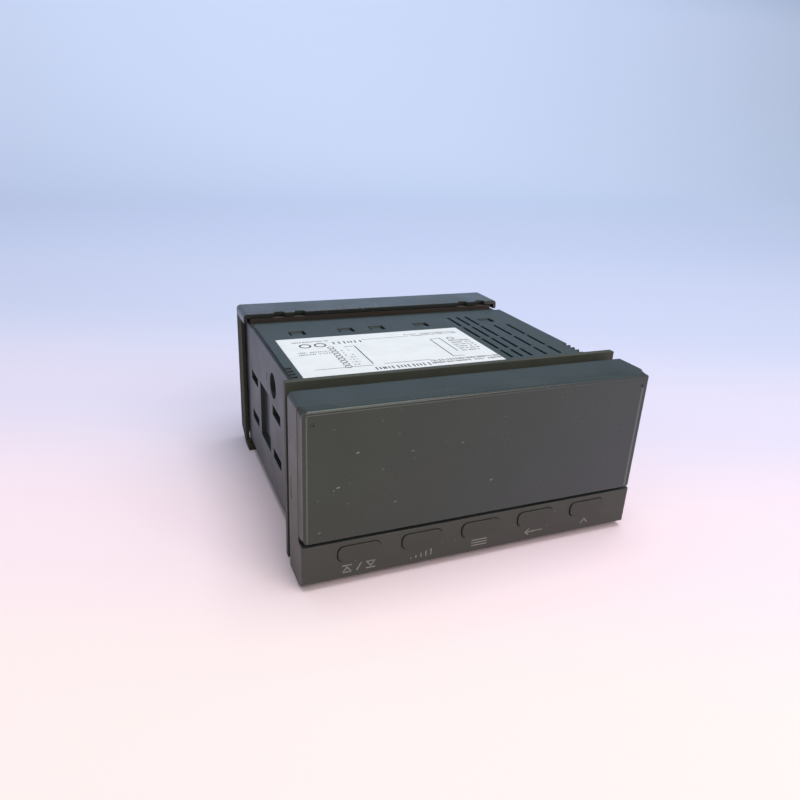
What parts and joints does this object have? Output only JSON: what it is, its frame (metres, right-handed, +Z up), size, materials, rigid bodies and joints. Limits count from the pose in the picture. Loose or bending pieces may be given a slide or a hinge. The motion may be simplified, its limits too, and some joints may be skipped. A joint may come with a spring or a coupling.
{
  "type": "temperature meter",
  "caption": "Panel-mount digital temperature meter with a smoked display window, a row of recessed keys, a vented case and a sliding mounting adapter.",
  "frame": {"origin": "middle of the base, on the surface the meter lies on", "axes": "+X to the right seen from the front, +Y from the front to the rear, +Z up"},
  "size_m": [0.096, 0.093, 0.0489],
  "materials": {
    "bezel_plastic": "fine-textured dark grey moulded plastic",
    "window_plastic": "smooth smoked plastic",
    "key_rubber": "matt black rubber",
    "switch_plastic": "black moulded plastic",
    "display_glass": "dark display glass",
    "board_laminate": "green lacquered laminate",
    "gasket_rubber": "matt brown-black rubber",
    "case_plastic": "fine-textured dark grey moulded plastic",
    "label_film": "white satin film",
    "core_steel": "lacquered laminations",
    "relay_plastic": "dark moulded plastic",
    "capacitor_sleeve": "shrunk plastic sleeve",
    "terminal_plastic": "black moulded plastic",
    "terminal_brass": "tinned brass",
    "screw_steel": "zinc-plated steel",
    "adapter_plastic": "dark grey moulded plastic"
  },
  "bodies": {
    "meter": {"front_bezel": "bezel_plastic", "display_window": "window_plastic", "key_switches": "switch_plastic", "lcd_panel": "display_glass", "display_board": "board_laminate", "panel_gasket": "gasket_rubber", "rear_case": "case_plastic", "top_label": "label_film", "main_board": "board_laminate", "power_board": "board_laminate", "transformer": "core_steel", "relays": "relay_plastic", "capacitors": "capacitor_sleeve", "terminal_block": "terminal_plastic", "terminal_plates": "terminal_brass", "terminal_screws": "screw_steel"},
    "max_min_button": {"max_min_key": "key_rubber"},
    "level_button": {"level_key": "key_rubber"},
    "mode_button": {"mode_key": "key_rubber"},
    "shift_button": {"shift_key": "key_rubber"},
    "up_button": {"up_key": "key_rubber"},
    "adapter": {"mounting_adapter": "adapter_plastic"}
  },
  "joints": [
    {"name": "max_min_press", "type": "slide", "parent": "meter", "child": "max_min_button", "axis": [0, 1, 0], "range_m": [0, 0.0005], "stiffness_N_per_m": 1500},
    {"name": "level_press", "type": "slide", "parent": "meter", "child": "level_button", "axis": [0, 1, 0], "range_m": [0, 0.0005], "stiffness_N_per_m": 1500},
    {"name": "mode_press", "type": "slide", "parent": "meter", "child": "mode_button", "axis": [0, 1, 0], "range_m": [0, 0.0005], "stiffness_N_per_m": 1500},
    {"name": "shift_press", "type": "slide", "parent": "meter", "child": "shift_button", "axis": [0, 1, 0], "range_m": [0, 0.0005], "stiffness_N_per_m": 1500},
    {"name": "up_press", "type": "slide", "parent": "meter", "child": "up_button", "axis": [0, 1, 0], "range_m": [0, 0.0005], "stiffness_N_per_m": 1500},
    {"name": "adapter_slide", "type": "slide", "parent": "meter", "child": "adapter", "axis": [0, -1, 0], "range_m": [0, 0.0616]}
  ]
}
